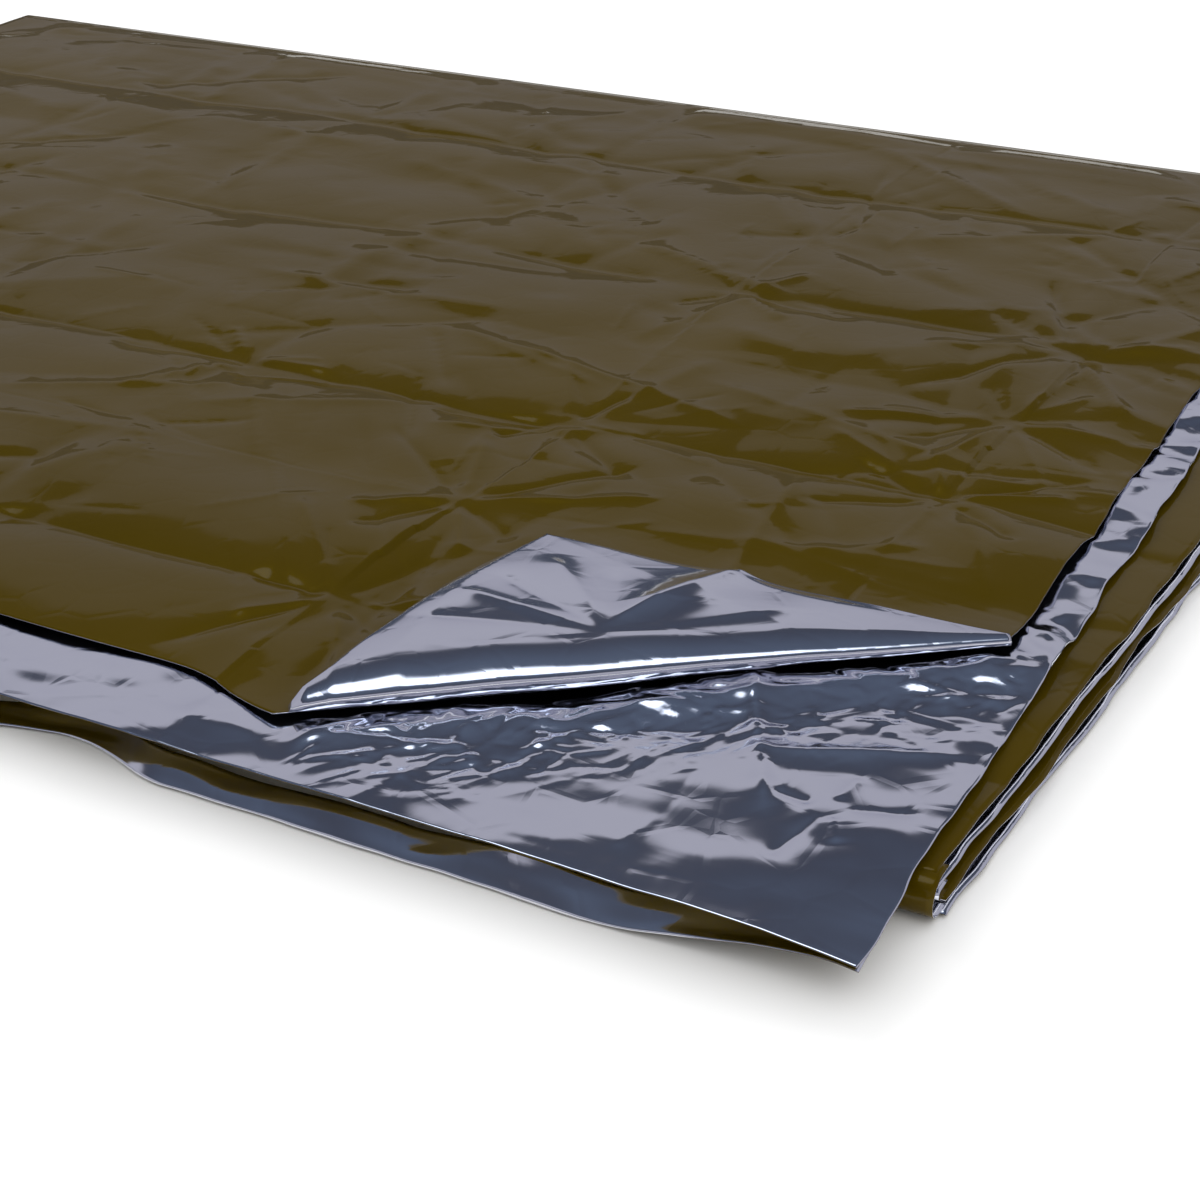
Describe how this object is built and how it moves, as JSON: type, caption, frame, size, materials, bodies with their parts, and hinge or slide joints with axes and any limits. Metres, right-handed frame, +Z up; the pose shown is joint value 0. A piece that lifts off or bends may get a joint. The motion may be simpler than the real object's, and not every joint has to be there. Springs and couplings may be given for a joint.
{
  "type": "bivy sack",
  "caption": "Emergency bivy sack of metallised film, olive outside and silver inside, lying folded in three with the mouth's corner turned back.",
  "frame": {"origin": "on the ground, under the middle of the folded sack's bounding box", "axes": "+Z up; +X across the sack to its right side, where the head section is open; -Y towards the mouth"},
  "size_m": [0.936, 0.745, 0.0306],
  "materials": {
    "film": "gloss",
    "silver_film": "polished",
    "seam_tape": "satin"
  },
  "bodies": {
    "foot_section": {"foot_lower_film": "film", "foot_upper_film": "film", "foot_left_seam": "seam_tape", "foot_right_seam": "seam_tape", "foot_end_seam": "seam_tape"},
    "middle_section": {"middle_lower_film": "film", "middle_upper_film": "film", "middle_left_seam": "seam_tape", "middle_right_seam": "seam_tape"},
    "head_section": {"head_lower_film": "film", "head_upper_film": "film", "head_left_seam": "seam_tape", "mouth_hem": "silver_film"},
    "turned_corner": {"corner_flap": "silver_film"}
  },
  "joints": [
    {"name": "near_fold", "type": "hinge", "parent": "foot_section", "child": "middle_section", "pos_m": [0, -0.3225, 0.0076], "axis": [1, 0, 0], "range_deg": [0, 180]},
    {"name": "far_fold", "type": "hinge", "parent": "middle_section", "child": "head_section", "pos_m": [0, 0.3725, 0.016], "axis": [-1, 0, 0], "range_deg": [0, 180]},
    {"name": "corner_fold", "type": "hinge", "parent": "head_section", "child": "turned_corner", "pos_m": [0.3443, -0.2616, 0.0267], "axis": [0.7895, 0.6138, 0], "range_deg": [0, 180]}
  ]
}
